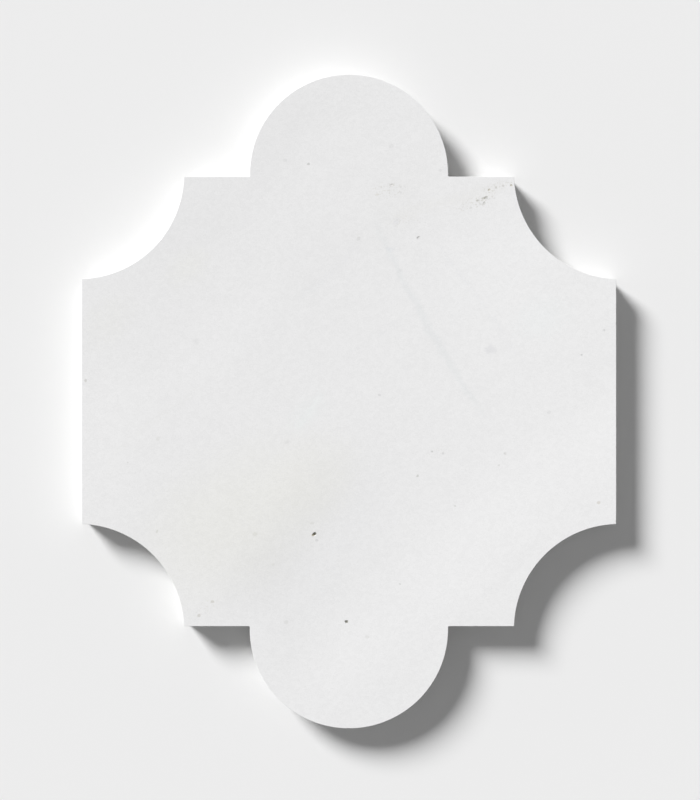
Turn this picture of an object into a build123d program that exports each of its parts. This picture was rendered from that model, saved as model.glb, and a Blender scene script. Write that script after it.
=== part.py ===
from build123d import *
import math
import os

# Interlocking marble tile, sawn from a slab and cut to outline by a jet of water.
# Millimetres. The origin is on the sawn back, under the middle of the tile.
# +X runs across the tile, +Y along it from lobe to lobe, +Z out of the finished face.

# ---- driving dimensions -------------------------------------------------------------
width = 180.0            # across the two straight sides
shoulder_length = 151.4  # between the two shoulder lines that carry the lobes
thickness = 10.0         # slab thickness
joint = 2.0              # grout joint that the pattern is drawn for
lobe_radius = 33.4       # round lobe in the middle of each end
kerf_radius = 0.4        # inside corners, as narrow as the jet can turn
tip_radius = 0.3         # outside corners, dubbed so that they don't chip
arris = 0.1              # barely eased arris all round the finished face

# ---- derived ------------------------------------------------------------------------
half_joint = joint / 2
corner_radius = lobe_radius + joint        # a neighbour's lobe and its joint
half_width = width / 2
shoulder = shoulder_length / 2
arc_x = half_width + half_joint            # joint centre lines, where every arc is struck
arc_y = shoulder + half_joint
lobe_foot = math.sqrt(lobe_radius**2 - half_joint**2)        # half chord of a lobe on its shoulder line
scoop = math.sqrt(corner_radius**2 - half_joint**2)          # half chord of a scooped corner
scoop_x = arc_x - scoop                    # where a scooped corner meets the shoulder line
scoop_y = arc_y - scoop                    # where a scooped corner meets the straight side
reach = corner_radius * math.cos(math.pi / 4)
lobe_tip = arc_y + lobe_radius
eps = 0.01

with BuildPart() as marble_tile:
    # Outline: one quarter is drawn from the lobe's crown to the middle of the side.
    with BuildSketch() as outline:
        with BuildLine() as quarter:
            lobe_arc = ThreePointArc(
                (0, lobe_tip),
                (lobe_radius * math.sin(math.radians(50)), arc_y + lobe_radius * math.cos(math.radians(50))),
                (lobe_foot, shoulder),
            )
            flat = Line(lobe_arc @ 1, (scoop_x, shoulder))
            scooped_corner = ThreePointArc(
                flat @ 1, (arc_x - reach, arc_y - reach), (half_width, scoop_y)
            )
            side = Line(scooped_corner @ 1, (half_width, 0))
            Line(side @ 1, (0, 0))
            Line((0, 0), (0, lobe_tip))
        make_face()
        mirror(about=Plane.YZ)
        mirror(about=Plane.XZ)
        # Inside corners beside the lobes take the jet's radius.
        feet = [
            v for v in outline.vertices()
            if abs(abs(v.X) - lobe_foot) < eps and abs(abs(v.Y) - shoulder) < eps
        ]
        fillet(feet, kerf_radius)
        # The tips at both ends of each scooped corner are dubbed.
        tips = [
            v for v in outline.vertices()
            if (abs(abs(v.X) - scoop_x) < eps and abs(abs(v.Y) - shoulder) < eps)
            or (abs(abs(v.X) - half_width) < eps and abs(abs(v.Y) - scoop_y) < eps)
        ]
        fillet(tips, tip_radius)
    extrude(amount=thickness)
    # The finished face has its arris eased, the sawn back is left sharp.
    face_edges = marble_tile.faces().sort_by(Axis.Z)[-1].outer_wire().edges()
    chamfer(face_edges, arris)

marble_tile.part.label = "marble_tile"

os.makedirs("parts", exist_ok=True)
export_step(marble_tile.part, "parts/marble_tile.step")

box = marble_tile.part.bounding_box()
print(
    "feet", len(feet), "tips", len(tips),
    "size", round(box.size.X, 3), round(box.size.Y, 3), round(box.size.Z, 3),
    "volume_cm3", round(marble_tile.part.volume / 1000, 3),
    "faces", len(marble_tile.faces()),
)
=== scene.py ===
import math
import bpy
import numpy as np
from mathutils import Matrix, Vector
from mathutils.geometry import delaunay_2d_cdt


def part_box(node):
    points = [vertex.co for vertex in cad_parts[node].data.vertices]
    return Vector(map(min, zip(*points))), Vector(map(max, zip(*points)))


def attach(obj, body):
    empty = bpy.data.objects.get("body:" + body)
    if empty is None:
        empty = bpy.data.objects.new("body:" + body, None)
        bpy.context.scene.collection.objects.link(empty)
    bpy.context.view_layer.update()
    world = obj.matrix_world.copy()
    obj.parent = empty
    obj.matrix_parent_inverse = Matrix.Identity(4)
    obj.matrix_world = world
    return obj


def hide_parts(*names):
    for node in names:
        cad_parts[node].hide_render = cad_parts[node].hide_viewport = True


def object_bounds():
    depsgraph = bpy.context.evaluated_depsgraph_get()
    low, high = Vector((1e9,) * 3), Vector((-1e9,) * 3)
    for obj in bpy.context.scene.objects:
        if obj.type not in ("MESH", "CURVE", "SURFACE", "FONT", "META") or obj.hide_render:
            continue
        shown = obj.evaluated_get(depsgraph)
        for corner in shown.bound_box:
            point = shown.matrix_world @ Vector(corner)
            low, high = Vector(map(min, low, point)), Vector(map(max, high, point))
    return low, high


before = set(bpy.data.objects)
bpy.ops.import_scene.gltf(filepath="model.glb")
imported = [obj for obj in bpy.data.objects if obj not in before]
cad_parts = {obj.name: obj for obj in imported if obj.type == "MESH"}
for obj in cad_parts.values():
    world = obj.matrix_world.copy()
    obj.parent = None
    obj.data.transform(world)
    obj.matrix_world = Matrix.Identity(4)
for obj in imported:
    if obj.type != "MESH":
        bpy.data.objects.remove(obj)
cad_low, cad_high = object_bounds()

MM = 0.001
NODE = "marble_tile"

# ---- outline, as cut ------------------------------------------------------------------
HALF_WIDTH = 90.0        # middle to a straight side
SHOULDER = 75.7          # middle to a shoulder line
THICK = 10.0
ARC_X, ARC_Y = 91.0, 76.7  # joint centre lines, where the arcs are struck
LOBE = 33.4
SCOOP = 35.4
KERF = 0.4               # inside corners beside the lobes
TIP = 0.3                # dubbed tips of the scooped corners
ARRIS = 0.1

low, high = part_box(NODE)
for got, want in zip((*low, *high), (-90, -110.1, 0, 90, 110.1, 10)):
    if abs(got / MM - want) > 0.05:
        raise SystemExit(f"the outline here no longer fits the frame: {got / MM} against {want}")

# ---- places that were read off the photo, in its pixels ------------------------------
PX = 0.33670             # millimetres a pixel, on the face
MID_X, MID_Y = 348.98, 401.45


def at(px, py):
    """A point of the photo as a point of the face."""
    return (px - MID_X) * PX, (MID_Y - py) * PX


# =======================================================================================
# Mesh
# =======================================================================================
def arc(cx, cy, r, a0, a1, step, out):
    """Points and outward normals along an arc, without its last point."""
    n = max(3, round(abs(math.radians(a1 - a0)) * r / step))
    a = np.radians(np.linspace(a0, a1, n + 1)[:-1])
    d = np.stack([np.cos(a), np.sin(a)], 1)
    return np.hstack([(cx, cy) + r * d, out * d])


def line(p, q, step, normal):
    n = max(2, round(math.dist(p, q) / step))
    t = np.linspace(0, 1, n + 1)[:-1, None]
    return np.hstack([np.array(p) + t * (np.array(q) - p), np.tile(normal, (n, 1))])


STEP = 0.225
FINE = 0.07
foot_x = math.sqrt((LOBE + KERF) ** 2 - (ARC_Y - SHOULDER - KERF) ** 2)
foot_turn = math.degrees(math.asin((ARC_Y - SHOULDER - KERF) / (LOBE + KERF)))
tip_dx = math.sqrt((SCOOP + TIP) ** 2 - (ARC_Y - SHOULDER + TIP) ** 2)
tip_turn = math.degrees(math.atan2(ARC_Y - SHOULDER + TIP, tip_dx))
tip_x = ARC_X - tip_dx
side_y = ARC_Y - tip_dx
quarter = np.vstack([
    arc(0, ARC_Y, LOBE, 90, -foot_turn, STEP, 1),
    arc(foot_x, SHOULDER + KERF, KERF, 180 - foot_turn, 270, FINE, -1),
    line((foot_x, SHOULDER), (tip_x, SHOULDER), STEP, (0, 1)),
    arc(tip_x, SHOULDER - TIP, TIP, 90, tip_turn, FINE, 1),
    arc(ARC_X, ARC_Y, SCOOP, 180 + tip_turn, 270 - tip_turn, STEP, -1),
    arc(HALF_WIDTH - TIP, side_y, TIP, 90 - tip_turn, 0, FINE, 1),
    line((HALF_WIDTH, side_y), (HALF_WIDTH, 0), STEP, (1, 0)),
])
side_mid = np.array([[HALF_WIDTH, 0, 1, 0]])
back_up = quarter[:0:-1]
loop = np.vstack([
    quarter,
    side_mid,
    back_up * (1, -1, 1, -1),
    quarter * (-1, -1, -1, -1),
    side_mid * (-1, 1, -1, 1),
    back_up * (-1, 1, -1, 1),
])[::-1]
rim, out = loop[:, :2], loop[:, 2:]
N = len(rim)
gaps = np.linalg.norm(np.roll(rim, -1, 0) - rim, axis=1)
run = np.concatenate([[0], np.cumsum(gaps)[:-1]])   # distance round the outline
around = gaps.sum()


def waves(x, lengths, seed, period=around):
    """Smooth noise along the outline that closes on itself, within about -1 and 1."""
    r = np.random.default_rng(seed)
    total = np.zeros_like(x)
    for length in lengths:
        k = max(1, round(period / length))
        total += np.sin(2 * math.pi * (k * x / period + r.random()))
    return total / math.sqrt(len(lengths))


# Chips: tiny ones on the arris of the finished face, larger spalls on the sawn back.
def chips(count, widths, depths, seed):
    r = np.random.default_rng(seed)
    depth = np.zeros(N)
    for _ in range(count):
        where, w = r.random() * around, r.uniform(*widths) / 2
        d = r.uniform(*depths) * r.random() ** 0.6
        off = np.abs((run - where + around / 2) % around - around / 2) / w
        shape = np.clip(1 - off ** 2, 0, 1) * (1 + 0.25 * np.sin(off * 7 + r.random() * 6))
        depth = np.maximum(depth, d * np.clip(shape, 0, 1))
    return depth


face_chip = chips(46, (0.5, 1.3), (0.04, 0.16), 11)
back_chip = chips(150, (0.6, 3.0), (0.1, 0.55), 12)
back_chip += 0.04 + 0.03 * waves(run, (2.1, 3.3, 1.6, 5.3), 13)
# A chip at a dubbed tip stays shallower than the tip's radius, or the border would fold over.
tips = np.array([
    (sx * x, sy * y) for x, y in ((tip_x, SHOULDER), (HALF_WIDTH, side_y)) for sx in (1, -1) for sy in (1, -1)
])
from_tip = np.linalg.norm(rim[:, None] - tips[None], axis=2).min(1)
room = 0.35 * np.maximum(from_tip - 0.7, 0)
face_chip = np.minimum(face_chip, 0.10 + room)
back_chip = np.clip(back_chip, 0.0, 0.15 + room)
arris_wave = 1 + 0.12 * waves(run, (9, 17, 31, 60), 14)

# Rows from the face's border down to the back's border. Each point is moved only inwards.
heights = [THICK - ARRIS, 9.6, 9.0, 8.2, 7.2, 6.0, 4.8, 3.6, 2.4, 1.3, 0.6, 0.22, 0.0]
rows = []
for turn in (0, 32, 62):
    a = math.radians(turn)
    inset = ARRIS * arris_wave.clip(0.7, 1.25) * (1 - math.sin(a)) + face_chip * (1.0 - 0.15 * math.sin(a))
    z = THICK - ARRIS * arris_wave.clip(0.7, 1.25) * (1 - math.cos(a)) - face_chip * 0.6 * math.sin(a)
    rows.append(np.hstack([rim - out * inset[:, None], z[:, None]]))
for k, h in enumerate(heights):
    deep = 1 - h / THICK
    # The jet leaves fine upright ridges that trail behind it as it goes down.
    slant = run + 1.5 * deep ** 2
    ridge = 0.6 * waves(slant, (1.15, 1.4, 1.75, 2.2), 21) + 0.4 * waves(slant, (3.4, 5.2, 7.9), 22)
    grow = np.clip((deep - 0.06) / 0.5, 0, 1) ** 0.8
    inset = (0.012 + 0.042 * grow) * (0.5 + 0.5 * ridge.clip(-1.6, 1.6) / 1.6)
    inset += 0.012 * (0.5 + 0.5 * waves(run + 13 * h, (0.9, 1.3, 2.6, 4.1), 23 + k).clip(-1, 1))
    if k == 0:
        inset = 0.004 + 0.6 * face_chip
    if k == 1:
        inset = 0.4 * inset + 0.25 * face_chip
    low_part = {0.6: 0.12, 0.22: 0.5, 0.0: 1.0}.get(h, 0.0)
    inset = inset + low_part * back_chip
    z = np.full(N, h) + (0.1 * back_chip if h == 0.22 else 0)
    rows.append(np.hstack([rim - out * inset[:, None], z[:, None]]))
rows = np.array(rows)
R = len(rows)

# Pits in the face, where soft grains fell out: place, half axes, turn, depth.
# The two dark ones are in the lower half, and the rest lie in a chain at the upper right.
PITS = [
    (314.3, 534.1, 0.72, 0.54, 42, 0.24),
    (346.5, 621.6, 0.58, 0.46, 20, 0.16),
    (485.9, 197.7, 0.34, 0.28, 20, 0.08),
    (483.6, 198.3, 0.30, 0.24, 0, 0.07),
    (483.9, 203.3, 0.34, 0.24, 60, 0.07),
    (478.3, 200.8, 0.30, 0.22, 10, 0.06),
    (489.0, 189.9, 0.36, 0.24, 35, 0.06),
    (511.3, 185.2, 0.32, 0.26, 0, 0.08),
    (418.3, 237.7, 0.50, 0.38, 30, 0.10),
    (391.9, 184.9, 0.62, 0.26, 15, 0.06),
    (505.1, 453.6, 0.26, 0.20, 0, 0.06),
    (598.7, 502.6, 0.24, 0.20, 0, 0.05),
    (85.9, 380.5, 0.26, 0.20, 80, 0.05),
]


def pit_depth(xy):
    """How far each point lies below the face."""
    depth = np.zeros(len(xy))
    for k, (px, py, a, b, turn, deep) in enumerate(PITS):
        cx, cy = at(px, py)
        t = math.radians(turn)
        d = xy - (cx, cy)
        u = (d[:, 0] * math.cos(t) + d[:, 1] * math.sin(t)) / a
        v = (-d[:, 0] * math.sin(t) + d[:, 1] * math.cos(t)) / b
        way = np.arctan2(v, u)
        edge = 1 + 0.13 * np.sin(3 * way + k) + 0.08 * np.sin(5 * way + 2.1 * k)
        rho = np.hypot(u, v) / edge
        bowl = np.clip(1 - rho ** 2.6, 0, 1) ** 0.8
        bowl *= 1 + 0.18 * np.sin(4 * u + k) * np.cos(5 * v + 2 * k)
        depth = np.maximum(depth, deep * bowl)
    return depth


def far_from_rim(xy, least):
    keep = np.ones(len(xy), bool)
    for s in range(0, len(xy), 400):
        d = np.linalg.norm(xy[s:s + 400, None] - rim[None], axis=2).min(1)
        keep[s:s + 400] = d > least
    return keep


def inside(xy):
    x, y = np.abs(xy[:, 0]), np.abs(xy[:, 1])
    body = (x < HALF_WIDTH) & (y < SHOULDER) & (np.hypot(x - ARC_X, y - ARC_Y) > SCOOP)
    return body | (np.hypot(x, y - ARC_Y) < LOBE)


def graded(border):
    """Rings of points inside a border, ever further apart, so that no long thin faces lie there."""
    rings = []
    for gap, every in ((0.55, 2), (1.25, 4), (2.4, 8)):
        ring = (border[:, :2] - out * gap)[::every]
        rings.append(ring[far_from_rim(ring, gap * 0.93 + ARRIS * 0.3)])
    return np.vstack(rings)


def triangles(border, inner):
    """Delaunay triangles between a closed border and inner points, by number: border first."""
    points = np.vstack([border[:, :2], inner])
    n = len(border)
    verts, _, faces, where, _, _ = delaunay_2d_cdt(
        [Vector(p) for p in points], [], [list(range(n))], 1, 1e-6
    )
    if len(verts) != len(points):
        raise SystemExit(f"two points of a flat face fell together: {len(points)} gave {len(verts)}")
    back = [w[0] for w in where]
    tri = np.array([[back[i] for i in f] for f in faces])
    a, b, c = (points[tri[:, k]] for k in range(3))
    area = (b[:, 0] - a[:, 0]) * (c[:, 1] - a[:, 1]) - (b[:, 1] - a[:, 1]) * (c[:, 0] - a[:, 0])
    tri[area < 0] = tri[area < 0][:, ::-1]
    return tri[np.abs(area) > 1e-9]


def grid(dx, dy, margin):
    x = np.arange(-HALF_WIDTH + dx / 2, HALF_WIDTH, dx)
    y = np.arange(-ARC_Y - LOBE + dy / 2, ARC_Y + LOBE, dy)
    xy = np.stack(np.meshgrid(x, y), -1).reshape(-1, 2)
    xy = xy[inside(xy)]
    return xy[far_from_rim(xy, margin)]


# Face: flat, with finer points round each pit.
plain = grid(5.0, 5.0, 4.6)
local = []
for px, py, a, b, turn, deep in PITS:
    c, t = np.array(at(px, py)), math.radians(turn)
    plain = plain[np.linalg.norm(plain - c, axis=1) > 3.0 * a]
    count = 22 if deep > 0.2 else 14
    for j, rho in enumerate((0.3, 0.55, 0.75, 0.9, 1.02, 1.16, 1.4, 2.2)):
        w = (np.arange(count) + 0.5 * (j % 2)) * 2 * math.pi / count
        u, v = a * rho * np.cos(w), b * rho * np.sin(w)
        local.append(c + np.stack([u * math.cos(t) - v * math.sin(t), u * math.sin(t) + v * math.cos(t)], 1))
    local.append(c[None])
local = np.vstack(local)
local = local[far_from_rim(local, 0.6)]
rings = graded(rows[0])
near = np.linalg.norm(rings[:, None] - local[None], axis=2).min(1) < 0.5
face_inner = np.vstack([plain, rings[~near], local])
face_tri = triangles(rows[0], face_inner)
face_z = THICK - pit_depth(face_inner)

# Back: the saw's wavy furrows run across it. They are cut upwards, so it still lies flat.
back_inner = np.vstack([grid(7.5, 1.15, 3.2), graded(rows[-1])])
back_tri = triangles(rows[-1], back_inner)


def furrows(xy):
    x, y = xy[:, 0], xy[:, 1]
    bow = y + 0.0011 * (x + 25) ** 2 / 2 + 0.6 * np.sin(x / 37)
    r = np.random.default_rng(31)
    total = np.zeros(len(xy))
    for length in (2.7, 3.9, 5.6, 8.3, 14.0, 27.0):
        total += np.sin(2 * math.pi * (bow / length + r.random()) + 0.8 * np.sin(x / 29 + r.random() * 6))
    total /= 2.6
    return 0.035 * (1 + np.clip(total, -1, 1))


back_z = furrows(back_inner)
rows[-1, :, 2] += furrows(rows[-1, :, :2]) * 0.6

side = rows.reshape(-1, 3)
first_face, first_back = len(side), len(side) + len(face_inner)
points = np.vstack([
    side,
    np.hstack([face_inner, face_z[:, None]]),
    np.hstack([back_inner, back_z[:, None]]),
])
points[:, 2] = points[:, 2].clip(0, THICK)
# The frame's own lobes are faceted, and their crowns fall 0.03 mm short of the true arc.
points[:, 1] = points[:, 1].clip(cad_low[1] / MM, cad_high[1] / MM)


def joined(tri, row, first):
    return np.where(tri < N, tri + row * N, tri - N + first)


face_tri = joined(face_tri, 0, first_face)
back_tri = joined(back_tri, R - 1, first_back)[:, ::-1]
j = np.arange(N)
k = (j + 1) % N
quads = np.vstack([
    np.stack([r * N + j, (r + 1) * N + j, (r + 1) * N + k, r * N + k], 1) for r in range(R - 1)
])
faces = [tuple(map(int, f)) for f in face_tri] + [tuple(map(int, f)) for f in quads] + [
    tuple(map(int, f)) for f in back_tri
]
mesh = bpy.data.meshes.new(NODE + "_finished")
mesh.from_pydata([tuple(map(float, p * MM)) for p in points], [], faces)
mesh.validate()
mesh.update()

# Which faces are face, arris, cut side and back, and which are shaded smooth.
n_face, n_quad, n_back = len(face_tri), len(quads), len(back_tri)
if len(mesh.polygons) != n_face + n_quad + n_back:
    raise SystemExit("the mesh lost faces")
worn = np.zeros(len(mesh.polygons), np.int32)
worn[n_face + 3 * N:n_face + n_quad] = 1
worn[n_face + n_quad:] = 2
mesh.polygons.foreach_set("material_index", worn)
smooth = np.ones(len(mesh.polygons), bool)
middle_z = points[face_tri][:, :, 2].min(1)
smooth[:n_face] = middle_z < THICK - 0.004
mesh.polygons.foreach_set("use_smooth", smooth)
ends = np.zeros(len(mesh.edges) * 2, np.int32)
mesh.edges.foreach_get("vertices", ends)
ends = ends.reshape(-1, 2)
last = (ends >= (R - 1) * N) & (ends < R * N)
mesh.edges.foreach_set("use_edge_sharp", last.all(1))

# One map of the whole skin: the face large, the back smaller, the sides in strips.
SIDE = 1024
MM_FACE, MM_BACK, MM_EDGE = 0.24, 0.70, 0.27
corner_vert = np.zeros(len(mesh.loops), np.int32)
mesh.loops.foreach_get("vertex_index", corner_vert)
start = np.zeros(len(mesh.polygons), np.int32)
size = np.zeros(len(mesh.polygons), np.int32)
mesh.polygons.foreach_get("loop_start", start)
mesh.polygons.foreach_get("loop_total", size)
corner_face = np.repeat(np.arange(len(start)), size)
where = points[corner_vert]
uv = np.zeros((len(mesh.loops), 2))
on_face = corner_face < n_face
on_back = corner_face >= n_face + n_quad
on_side = ~on_face & ~on_back
uv[on_face] = 5 + (where[on_face, :2] + (HALF_WIDTH, ARC_Y + LOBE)) / MM_FACE
col = 2 * HALF_WIDTH / MM_FACE + 15
uv[on_back] = (where[on_back, :2] * (-1, 1) + (HALF_WIDTH, ARC_Y + LOBE)) / MM_BACK + (col, 5)
strip = (SIDE - 5 - col) * MM_EDGE            # length of outline in one strip
depth_along = np.concatenate([[0], np.cumsum(np.linalg.norm(np.diff(rows[:, 0], axis=0), axis=1))])
strip_of = np.minimum((run / strip).astype(int), int(around // strip))
base = 2 * (ARC_Y + LOBE) / MM_BACK + 15
q = corner_face[on_side] - n_face
q_col = q % N
v_row = corner_vert[on_side] // N
v_col = corner_vert[on_side] % N
v_run = np.where((v_col == 0) & (q_col == N - 1), around, run[v_col])
s = strip_of[q_col]
start_run = np.array([run[strip_of == i].min() for i in range(strip_of.max() + 1)])
tall = depth_along[-1] / MM_EDGE + 6
uv[on_side, 0] = col + (v_run - start_run[s]) / MM_EDGE
uv[on_side, 1] = base + s * tall + depth_along[v_row] / MM_EDGE
uv /= SIDE
if uv.max() > 0.999 or uv.min() < 0.001:
    raise SystemExit(f"the map runs outside its square: {uv.min(0)} {uv.max(0)}")
layer = mesh.uv_layers.new(name="OFBake", do_init=False)
layer.uv.foreach_set("vector", uv.astype(np.float32).ravel())

tile = bpy.data.objects.new("marble_tile_finished", mesh)
bpy.context.scene.collection.objects.link(tile)


# =======================================================================================
# Materials
# =======================================================================================
class Nodes:
    """Short words for making shader nodes."""

    def __init__(self, tree):
        self.tree = tree

    def put(self, socket, value):
        if isinstance(value, bpy.types.NodeSocket):
            self.tree.links.new(value, socket)
        elif value is not None:
            socket.default_value = value

    def add(self, kind, inputs=(), **props):
        node = self.tree.nodes.new(kind)
        for name, value in props.items():
            setattr(node, name, value)
        for name, value in dict(inputs).items():
            self.put(node.inputs[name], value)
        return node

    def math(self, operation, a, b=None, c=None, clamp=False):
        return self.add("ShaderNodeMath", {0: a, 1: b, 2: c}, operation=operation, use_clamp=clamp).outputs[0]

    def vector(self, operation, a, b=None, c=None):
        return self.add("ShaderNodeVectorMath", {0: a, 1: b, 2: c}, operation=operation).outputs[0]

    def stepped(self, levels, there, step):
        """Levels with a step added, as far as a place is covered."""
        part = self.add("ShaderNodeVectorMath", {0: step, "Scale": there}, operation="SCALE").outputs[0]
        return self.vector("ADD", levels, part)

    def noise(self, at, scale, detail=2.0, rough=0.5, lacunarity=2.0, distort=0.0):
        return self.add(
            "ShaderNodeTexNoise",
            {"Vector": at, "Scale": scale, "Detail": detail, "Roughness": rough, "Lacunarity": lacunarity, "Distortion": distort},
            noise_dimensions="3D",
        )

    def mapped(self, at, place=(0, 0, 0), turn=0.0, size=(1, 1, 1), kind="TEXTURE"):
        """Coordinates in a frame that is placed, turned about Z and sized."""
        return self.add(
            "ShaderNodeMapping",
            {"Vector": at, "Location": place, "Rotation": (0, 0, math.radians(turn)), "Scale": size},
            vector_type=kind,
        ).outputs[0]

    def ball(self, at):
        """1 in the middle of a unit ball, and 0 from its skin outwards."""
        return self.add("ShaderNodeTexGradient", {"Vector": at}, gradient_type="SPHERICAL").outputs["Fac"]

    def between(self, value, low, high, to_low=0.0, to_high=1.0, kind="SMOOTHSTEP"):
        return self.add(
            "ShaderNodeMapRange",
            {"Value": value, "From Min": low, "From Max": high, "To Min": to_low, "To Max": to_high},
            interpolation_type=kind,
        ).outputs["Result"]


# Soft clouds of the face, as places in the photo: place, half length and half width in
# millimetres, turn, and how many steps of 255 lighter or darker each colour is there.
CLOUDS = [
    ((222, 522), 30, 18, 43, (-0.5, -0.5, -3.2)),
    ((312, 476), 15, 11, 42, (-0.9, -1.0, -2.6)),
    ((290, 530), 28, 9, 49, (-2.3, -2.3, -2.7)),
    ((262, 580), 17, 9, 48, (-2.2, -2.2, -2.2)),
    ((345, 484), 20, 9, 47, (-1.5, -1.5, -1.6)),
    ((345, 542), 33, 9, 50, (-1.1, -1.0, -0.9)),
    ((276, 556), 38, 19, -22, (-1.3, -1.3, -1.3)),
    ((280, 642), 12, 8, 50, (-1.2, -1.2, -1.2)),
    ((461, 557), 68, 13, 43, (2.5, 2.5, 2.5)),
    ((350, 652), 16, 9, 43, (1.0, 1.0, 1.0)),
    ((508, 256), 28, 15, 42, (1.9, 2.0, 2.0)),
    ((540, 317), 9, 6, 20, (-0.3, 0.8, 0.6)),
    ((512, 337), 16, 10, 30, (0.8, 0.8, 0.8)),
    ((606, 440), 15, 8, 80, (1.1, 1.1, 1.1)),
    ((605, 355), 16, 9, 43, (-1.2, -1.2, -1.2)),
    ((203, 224), 28, 13, 42, (-2.0, -2.0, -2.0)),
    ((282, 140), 16, 9, 60, (-1.9, -1.9, -1.9)),
    ((326, 102), 14, 9, 20, (-1.6, -1.6, -1.6)),
    ((262, 198), 44, 8, 44, (0.4, 0.4, 0.4)),
    ((215, 345), 38, 8, 44, (1.3, 1.3, 1.3)),
    ((320, 258), 22, 8, 45, (-0.9, -0.9, -0.9)),
    ((396, 200), 17, 9, 60, (-1.3, -1.3, -1.5)),
    ((104, 440), 28, 13, 80, (2.0, 2.0, 1.9)),
    ((188, 268), 7, 5, 40, (0.0, 0.0, -1.4)),
    ((106, 319), 10, 7, 30, (-0.9, -0.9, -1.8)),
    ((303, 414), 8, 4, 50, (-0.3, 0.8, 0.5)),
]
# Small marks: place, half length, half width, turn, steps of 255.
MARKS = [
    ((314.9, 533.8), 0.58, 0.50, 42, (-80, -80, -83)),
    ((313.1, 535.1), 0.50, 0.44, 30, (-42, -46, -56)),
    ((346.5, 621.6), 0.62, 0.52, 20, (-74, -74, -78)),
    ((485.9, 197.7), 0.68, 0.56, 20, (-32, -32, -34)),
    ((483.5, 198.2), 0.58, 0.48, 0, (-21, -21, -24)),
    ((483.9, 203.3), 0.64, 0.52, 60, (-24, -24, -26)),
    ((478.3, 200.8), 0.56, 0.46, 10, (-16, -16, -18)),
    ((480.4, 203.9), 0.50, 0.42, 0, (-13, -13, -14)),
    ((482.0, 200.4), 0.54, 0.36, 20, (-14, -14, -17)),
    ((489.0, 189.9), 0.56, 0.36, 35, (-25, -27, -34)),
    ((495.7, 187.9), 0.50, 0.34, 20, (-17, -17, -18)),
    ((503.1, 185.6), 0.52, 0.34, 0, (-17, -18, -20)),
    ((511.3, 185.2), 0.42, 0.36, 20, (-33, -35, -44)),
    ((418.3, 237.7), 0.74, 0.52, 35, (-24, -24, -25)),
    ((391.9, 184.9), 1.05, 0.52, 15, (-10, -10.5, -12)),
    ((377.4, 194.4), 0.56, 0.42, 0, (-8, -9, -12)),
    ((400.8, 187.0), 0.50, 0.36, 10, (-8, -8, -8)),
    ((400.8, 192.4), 0.45, 0.36, 0, (-8, -8, -8)),
    ((505.1, 453.6), 0.56, 0.48, 0, (-15, -15, -16)),
    ((598.7, 502.6), 0.66, 0.54, 0, (-17, -19, -23)),
    ((85.6, 380.5), 0.60, 0.50, 80, (-18, -18, -20)),
    ((308.5, 164.0), 0.54, 0.46, 0, (-25, -25, -26)),
    ((417.6, 476.0), 0.54, 0.44, 30, (-22, -22, -24)),
    ((432.0, 451.5), 0.44, 0.36, 0, (-24, -24, -24)),
    ((443.0, 453.5), 0.50, 0.42, 0, (-16, -16, -16)),
    ((455.0, 506.0), 0.40, 0.32, 0, (-16, -16, -18)),
    ((400.0, 584.0), 0.37, 0.30, 0, (-17, -17, -18)),
    ((581.6, 355.0), 0.40, 0.33, 0, (-23, -23, -23)),
    ((604.0, 330.0), 0.50, 0.42, 0, (-15, -15, -15)),
    ((212.5, 601.5), 0.68, 0.56, 0, (-18, -19, -22)),
    ((199.0, 615.6), 0.62, 0.54, 0, (-18, -19, -22)),
    ((157.9, 438.8), 0.92, 0.66, 60, (-6, -6, -7)),
    ((127.6, 462.5), 0.34, 0.28, 0, (-13, -13, -14)),
    ((255.0, 534.0), 0.90, 0.74, 0, (-6.5, -6.5, -8)),
    ((358.6, 238.5), 0.88, 0.66, 60, (-9, -9, -9.5)),
    ((379.3, 394.8), 0.52, 0.46, 0, (-14, -14, -14)),
    ((391.2, 146.4), 0.94, 0.72, 30, (-5.5, -5.5, -5.5)),
    ((367.2, 637.0), 0.80, 0.60, 0, (-8, -8, -9)),
    ((286.3, 622.2), 0.82, 0.68, 20, (-8, -8, -9)),
    ((549.0, 412.2), 0.76, 0.64, 0, (-8, -8, -8)),
    ((285.0, 160.3), 0.78, 0.60, 0, (-7.5, -7.5, -7.5)),
    ((157.2, 531.3), 0.62, 0.40, 70, (-12, -12, -14)),
    ((273.2, 564.4), 0.56, 0.46, 0, (-7, -7, -8)),
    ((312.3, 523.2), 0.72, 0.58, 0, (-7, -7, -8)),
    ((316.7, 540.3), 0.56, 0.46, 0, (-12, -12, -12)),
    ((440.2, 170.3), 0.66, 0.54, 0, (-8, -8, -8)),
    ((470.8, 207.8), 0.50, 0.38, 30, (-11, -11, -12)),
    ((494.3, 198.2), 0.46, 0.36, 40, (-10, -10, -11)),
    ((499.0, 465.2), 0.44, 0.36, 0, (-12, -12, -13)),
]
# Soft grey spots under the polish.
SPOTS = [
    ((489.9, 349.6), 1.9, 1.5, 20, (-8, -8, -7)),
    ((287.8, 443.0), 1.2, 0.9, 30, (-9, -9, -9)),
    ((196.0, 341.8), 1.4, 1.0, 0, (-6, -6, -6)),
    ((396.7, 220.8), 1.5, 1.0, 20, (-4, -4, -3)),
    ((391.3, 249.8), 1.3, 0.9, 0, (-4, -3.2, -2)),
    ((400.3, 271.2), 1.1, 0.8, 0, (-4, -4, -4)),
]
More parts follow.
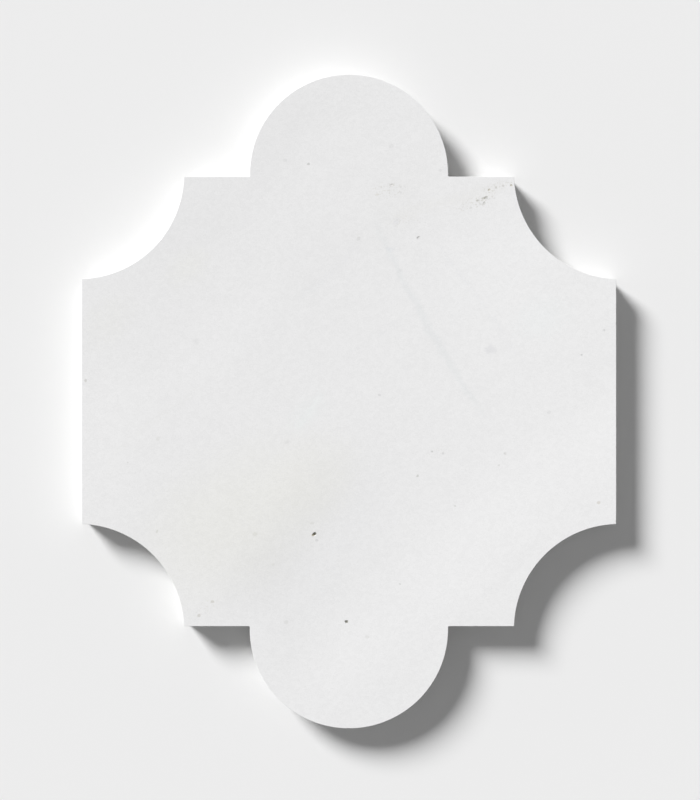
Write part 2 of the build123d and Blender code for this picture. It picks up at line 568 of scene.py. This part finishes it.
# Thin veins: two ends in the photo, sag in millimetres, half width, steps of 255.
VEINS = [
    ((374, 219), (487, 422), -1.6, 1.0, (-3.7, -2.9, -2.7)),
    ((361, 238), (294, 301), 1.6, 1.1, (-1.6, -1.5, -1.3)),
    ((386, 222), (512, 186), 1.2, 1.7, (-1.1, -1.2, -1.8)),
    ((432, 238), (520, 360), 0.5, 0.7, (-1.3, -1.2, -1.0)),
    ((322, 392), (294, 431), 0.5, 0.9, (0.6, 1.4, 1.2)),
    ((330, 372), (432, 300), 1.4, 0.8, (-0.9, -0.9, -0.8)),
    ((100, 470), (215, 380), 2.0, 1.0, (-0.8, -0.8, -1.0)),
    ((450, 640), (560, 520), 1.5, 1.2, (-0.9, -0.9, -0.9)),
]
# Patches where fine grey freckles show: place, half axes, turn, strength.
FRECKLED = [
    ((483, 200), 4.2, 2.3, 30, 1.0),
    ((500, 187), 5.6, 1.8, 12, 0.9),
    ((465, 206), 4.2, 2.0, 25, 0.6),
    ((388, 190), 5.6, 2.6, 5, 0.8),
    ((404, 221), 5.5, 1.8, 8, 0.5),
    ((437, 452), 5.0, 1.8, 10, 0.35),
    ((206, 608), 4.5, 2.2, 40, 0.5),
]
STEP_255 = 0.00975        # one step of 255 near white, as a share of the albedo


def stone(n, face=True):
    """Levels of the marble at each point, in steps of 255, and some noises to go with them."""
    place = n.add("ShaderNodeTexCoord").outputs["Object"]
    p = n.vector("SCALE", place)
    p.node.inputs["Scale"].default_value = 1000.0
    split = n.add("ShaderNodeSeparateXYZ", {0: p})
    x, y = split.outputs[0], split.outputs[1]

    # The slab is a little lighter towards one side.
    x100 = n.math("MULTIPLY", x, 0.01)
    slope = n.math("MULTIPLY_ADD", x100, 1.0, 2.0)
    lift = n.math("MULTIPLY", x100, slope)
    lift = n.math("MULTIPLY_ADD", y, -0.007, lift)
    levels = n.add("ShaderNodeCombineXYZ", {0: lift, 1: lift, 2: lift}).outputs[0]

    # Broad bands drift one way through the block.
    big = n.noise(p, 0.022, 2.0).outputs["Color"]
    swept = n.vector("MULTIPLY_ADD", big, (26, 26, 12), p)
    swept = n.vector("ADD", swept, (-13, -13, -6))
    drift = n.noise(n.mapped(swept, (13, 4, 0), 42, (42, 15, 30)), 1.0, 3.0, 0.55).outputs["Fac"]
    drift = n.math("MULTIPLY_ADD", drift, 1.8, -0.9)
    levels = n.vector("ADD", levels, n.add("ShaderNodeCombineXYZ", {0: drift, 1: drift, 2: drift}).outputs[0])
    haze = n.noise(n.mapped(swept, (90, 40, 0), 42, (9, 4.5, 8)), 1.0, 3.0, 0.6).outputs["Fac"]
    haze = n.math("MULTIPLY_ADD", haze, 2.4, -1.2)
    levels = n.vector("ADD", levels, n.add("ShaderNodeCombineXYZ", {0: haze, 1: haze, 2: haze}).outputs[0])

    # Sugar grain: crystals of about a millimetre, and finer ones between.
    cells = n.add("ShaderNodeTexVoronoi", {"Vector": p, "Scale": 1.05, "Randomness": 1.0}, voronoi_dimensions="3D")
    crystal = n.add("ShaderNodeSeparateColor", {0: cells.outputs["Color"]}).outputs[0]
    fine = n.noise(p, 2.2, 3.0, 0.65).outputs["Fac"]
    mottle = n.noise(p, 0.55, 2.0, 0.6).outputs["Fac"]
    grain = n.math("MULTIPLY_ADD", crystal, 3.4, -1.7)
    grain = n.math("MULTIPLY_ADD", n.math("SUBTRACT", fine, 0.5), 17.0, grain)
    grain = n.math("MULTIPLY_ADD", n.math("SUBTRACT", mottle, 0.5), 2.5, grain)
    levels = n.vector("ADD", levels, n.add("ShaderNodeCombineXYZ", {0: grain, 1: grain, 2: grain}).outputs[0])

    # Clouds and veins go straight down through the slab.
    slow = n.noise(p, 0.03, 2.0).outputs["Color"]
    bent = n.vector("MULTIPLY_ADD", slow, (8, 8, 4), p)
    bent = n.vector("ADD", bent, (-4, -4, -2))
    for (px, py), a, b, turn, step in CLOUDS:
        cx, cy = at(px, py)
        there = n.ball(n.mapped(bent, (cx, cy, 0), turn, (a * 1.6, b * 1.6, 1e6)))
        levels = n.stepped(levels, n.between(there, 0.0, 0.85), step)
    wobble = n.noise(p, 0.16, 3.0, 0.6).outputs["Color"]
    frayed = n.vector("MULTIPLY_ADD", wobble, (5.0, 5.0, 2.0), p)
    frayed = n.vector("ADD", frayed, (-2.5, -2.5, -1.0))
    if face:
        small = n.noise(p, 1.9, 2.0).outputs["Color"]
        rough_edge = n.vector("MULTIPLY_ADD", small, (0.5, 0.5, 0), p)
        rough_edge = n.vector("ADD", rough_edge, (-0.25, -0.25, 0))
        for (px, py), a, b, turn, step in SPOTS:
            cx, cy = at(px, py)
            there = n.ball(n.mapped(frayed, (cx, cy, THICK), turn, (a * 1.5, b * 1.5, 6)))
            levels = n.stepped(levels, n.between(there, 0.0, 0.8), step)
        freckles = n.noise(p, 1.5, 2.0, 0.6).outputs["Fac"]
        freckles = n.between(freckles, 0.52, 0.68)
        for (px, py), a, b, turn, strength in FRECKLED:
            cx, cy = at(px, py)
            there = n.ball(n.mapped(frayed, (cx, cy, THICK), turn, (a * 1.4, b * 1.4, 6)))
            there = n.math("MULTIPLY", n.between(there, 0.0, 0.6), freckles)
            step = tuple(c * strength for c in (-17, -18, -22))
            levels = n.stepped(levels, there, step)
        for (px, py), a, b, turn, step in MARKS:
            cx, cy = at(px, py)
            there = n.ball(n.mapped(rough_edge, (cx, cy, THICK), turn, (a * 1.25, b * 1.25, 2)))
            there = n.between(there, 0.05, 0.5)
            levels = n.stepped(levels, there, step)

    # The veins are added last, because their separated coordinates come late in the shader.
    # Any place added after them would be held on its stack, which has little room.
    for (ax, ay), (bx, by), sag, half, step in VEINS:
        (x0, y0), (x1, y1) = at(ax, ay), at(bx, by)
        long = math.dist((x0, y0), (x1, y1)) / 2
        turn = math.degrees(math.atan2(y1 - y0, x1 - x0))
        local = n.mapped(frayed, ((x0 + x1) / 2, (y0 + y1) / 2, 0), turn, (long, 1, 1))
        part = n.add("ShaderNodeSeparateXYZ", {0: local})
        square = n.math("MULTIPLY", part.outputs[0], part.outputs[0])
        off = n.math("ABSOLUTE", n.math("SUBTRACT", part.outputs[1], n.math("MULTIPLY_ADD", square, -sag, sag)))
        across = n.between(off, 0.1 * half, 2.0 * half, 1.0, 0.0)
        along = n.between(square, 0.45, 1.1, 1.0, 0.0)
        there = n.math("MULTIPLY", across, along)
        levels = n.stepped(levels, there, step)
    return p, levels, dict(drift=drift, haze=haze, crystal=crystal, fine=fine, wobble=wobble)


def coloured(n, levels, base):
    share = tuple(STEP_255 * c for c in base)
    colour = n.vector("MULTIPLY_ADD", levels, share, base)
    return n.vector("MAXIMUM", colour, (0.02, 0.02, 0.02))


def material(name):
    m = bpy.data.materials.new(name)
    m.use_nodes = True
    tree = m.node_tree
    tree.nodes.clear()
    n = Nodes(tree)
    shader = n.add("ShaderNodeBsdfPrincipled")
    outlet = n.add("ShaderNodeOutputMaterial")
    tree.links.new(shader.outputs[0], outlet.inputs["Surface"])
    return m, n, shader


BASE = (0.8120, 0.8105, 0.8125)


def honed_face():
    m, n, shader = material("marble_honed_face")
    p, levels, noises = stone(n)
    n.put(shader.inputs["Base Color"], coloured(n, levels, BASE))
    # Honing leaves a dull even sheen, a touch glossier where the crystals are denser.
    patch = n.noise(p, 0.05, 3.0, 0.6).outputs["Fac"]
    rough = n.math("MULTIPLY_ADD", patch, 0.10, 0.73)
    rough = n.math("MULTIPLY_ADD", noises["crystal"], 0.06, rough)
    rough = n.math("MULTIPLY_ADD", noises["fine"], 0.05, rough, clamp=True)
    n.put(shader.inputs["Roughness"], rough)
    shader.inputs["Specular IOR Level"].default_value = 0.15
    # Crystals stand a few thousandths proud of each other, with long faint waves.
    height = n.math("MULTIPLY_ADD", noises["crystal"], 0.25, n.math("MULTIPLY", noises["fine"], 0.9))
    height = n.math("MULTIPLY_ADD", n.noise(p, 5.5, 2.0).outputs["Fac"], 0.5, height)
    bump = n.add("ShaderNodeBump", {"Height": height, "Strength": 1.0, "Distance": 0.014 * MM})
    n.put(shader.inputs["Normal"], bump.outputs[0])
    return m


def cut_side():
    m, n, shader = material("marble_cut_side")
    p, levels, noises = stone(n, face=False)
    # The jet leaves a sugary side with upright streaks; its base colour is set greyer and darker than the face's
    # as painted shade, which holds the brightly lit sides down.
    upright = n.mapped(p, (0, 0, 0), 0, (1.0, 1.0, 9.0))
    streak = n.noise(upright, 0.9, 3.0, 0.6).outputs["Fac"]
    streak = n.math("MULTIPLY_ADD", streak, 20.0, -10.0)
    sugar = n.noise(p, 2.6, 3.0, 0.7).outputs["Fac"]
    sugar = n.math("MULTIPLY_ADD", sugar, 18.0, -9.0)
    both = n.math("ADD", streak, sugar)
    depth = n.add("ShaderNodeSeparateXYZ", {0: p}).outputs[2]
    # The side grows a little darker towards the back.
    both = n.math("ADD", both, n.between(depth, 0.0, 9.0, -2.5, 0.5))
    levels = n.vector("ADD", levels, n.add("ShaderNodeCombineXYZ", {0: both, 1: both, 2: both}).outputs[0])
    # Painted shade: this base colour is darker than the face's, to hold down the strong light that falls on the
    # sides.
    n.put(shader.inputs["Base Color"], coloured(n, levels, (0.625, 0.624, 0.615)))
    rough = n.math("MULTIPLY_ADD", n.noise(upright, 0.7, 2.0).outputs["Fac"], 0.16, 0.72, clamp=True)
    n.put(shader.inputs["Roughness"], rough)
    shader.inputs["Specular IOR Level"].default_value = 0.22
    height = n.math("MULTIPLY_ADD", noises["crystal"], 0.5, n.math("MULTIPLY", sugar, 0.07))
    height = n.math("MULTIPLY_ADD", streak, 0.06, height)
    height = n.math("MULTIPLY_ADD", n.noise(p, 6.0, 2.0).outputs["Fac"], 0.5, height)
    bump = n.add("ShaderNodeBump", {"Height": height, "Strength": 1.0, "Distance": 0.05 * MM})
    n.put(shader.inputs["Normal"], bump.outputs[0])
    return m


def sawn_back():
    m, n, shader = material("marble_sawn_back")
    p, levels, noises = stone(n, face=False)
    # Fine scratches follow the furrows, and dried slurry greys the low places.
    along = n.mapped(p, (0, 0, 0), 1.5, (60, 1, 10))
    scratch = n.noise(along, 1.4, 3.0, 0.7, distort=0.15).outputs["Fac"]
    furrow = n.noise(n.mapped(p, (7, 3, 0), 1.5, (120, 5, 30)), 1.0, 2.0).outputs["Fac"]
    slurry = n.noise(p, 0.045, 4.0, 0.65, distort=0.6).outputs["Fac"]
    shade = n.math("MULTIPLY_ADD", scratch, 12.0, -6.0)
    shade = n.math("MULTIPLY_ADD", n.math("SUBTRACT", furrow, 0.5), 8.0, shade)
    shade = n.math("ADD", shade, n.between(slurry, 0.35, 0.7, 0.0, -7.0))
    levels = n.vector("ADD", levels, n.add("ShaderNodeCombineXYZ", {0: shade, 1: shade, 2: shade}).outputs[0])
    n.put(shader.inputs["Base Color"], coloured(n, levels, (0.690, 0.688, 0.672)))
    rough = n.math("MULTIPLY_ADD", slurry, 0.14, 0.76, clamp=True)
    n.put(shader.inputs["Roughness"], rough)
    shader.inputs["Specular IOR Level"].default_value = 0.22
    height = n.math("MULTIPLY_ADD", scratch, 1.0, n.math("MULTIPLY", furrow, 0.8))
    height = n.math("MULTIPLY_ADD", noises["fine"], 0.5, height)
    bump = n.add("ShaderNodeBump", {"Height": height, "Strength": 1.0, "Distance": 0.06 * MM})
    n.put(shader.inputs["Normal"], bump.outputs[0])
    return m


for m in (honed_face(), cut_side(), sawn_back()):
    mesh.materials.append(m)
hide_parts(NODE)
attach(tile, "root")


# =======================================================================================
# Floor, light and camera
# =======================================================================================
floor_mesh = bpy.data.meshes.new("floor")
half = 6.0
floor_mesh.from_pydata(
    [(-half, -half, 0), (half, -half, 0), (half, half, 0), (-half, half, 0)], [], [(0, 1, 2, 3)]
)
floor = bpy.data.objects.new("floor", floor_mesh)
bpy.context.scene.collection.objects.link(floor)
m, n, shader = material("floor_pale")
shader.inputs["Base Color"].default_value = (0.84, 0.84, 0.84, 1)
shader.inputs["Roughness"].default_value = 1.0
shader.inputs["Specular IOR Level"].default_value = 0.0
floor_mesh.materials.append(m)

# A broad soft key from the upper left of the photo.
ELEVATION, AZIMUTH, SPREAD = 31.1, 135.0, 20.5
KEY = 0.756
sun = bpy.data.lights.new("key", "SUN")
sun.angle = math.radians(SPREAD)
sun.energy = KEY * math.pi / math.sin(math.radians(ELEVATION))
key = bpy.data.objects.new("key", sun)
e, a = math.radians(ELEVATION), math.radians(AZIMUTH)
towards = Vector((math.cos(e) * math.cos(a), math.cos(e) * math.sin(a), math.sin(e)))
key.rotation_mode = "QUATERNION"
key.rotation_quaternion = towards.to_track_quat("Z", "Y")
key.location = towards
bpy.context.scene.collection.objects.link(key)

# An even sky, paler near the horizon as in a white room.
world = bpy.data.worlds.new("room")
world.use_nodes = True
world.node_tree.nodes.clear()
n = Nodes(world.node_tree)
up = n.add("ShaderNodeSeparateXYZ", {0: n.add("ShaderNodeTexCoord").outputs["Generated"]}).outputs[2]
glow = n.between(up, 0.02, 0.30, 0.78, 0.232)
background = n.add(
    "ShaderNodeBackground",
    {"Color": n.add("ShaderNodeCombineColor", {0: glow, 1: glow, 2: glow}).outputs[0], "Strength": 1.0},
)
outlet = n.add("ShaderNodeOutputWorld", {"Surface": background.outputs[0]})
bpy.context.scene.world = world
bpy.context.scene.view_settings.view_transform = "Standard"
bpy.context.scene.view_settings.look = "None"
bpy.context.scene.view_settings.exposure = 0.0
bpy.context.scene.view_settings.gamma = 1.0

# The camera looks straight down, with the photo's scale at the face.
lens, sensor, long_side = 80.0, 36.0, 800
distance = PX * long_side * lens / sensor
cam = bpy.data.cameras.new("camera")
cam.lens, cam.sensor_width, cam.sensor_fit = lens, sensor, "AUTO"
cam.clip_start, cam.clip_end = 0.01, 50.0
camera = bpy.data.objects.new("camera", cam)
camera.location = ((350 - MID_X) * PX * MM, (MID_Y - 400) * PX * MM, (THICK + distance) * MM)
camera.rotation_euler = (0.0, 0.0, 0.0)
bpy.context.scene.collection.objects.link(camera)
bpy.context.scene.camera = camera
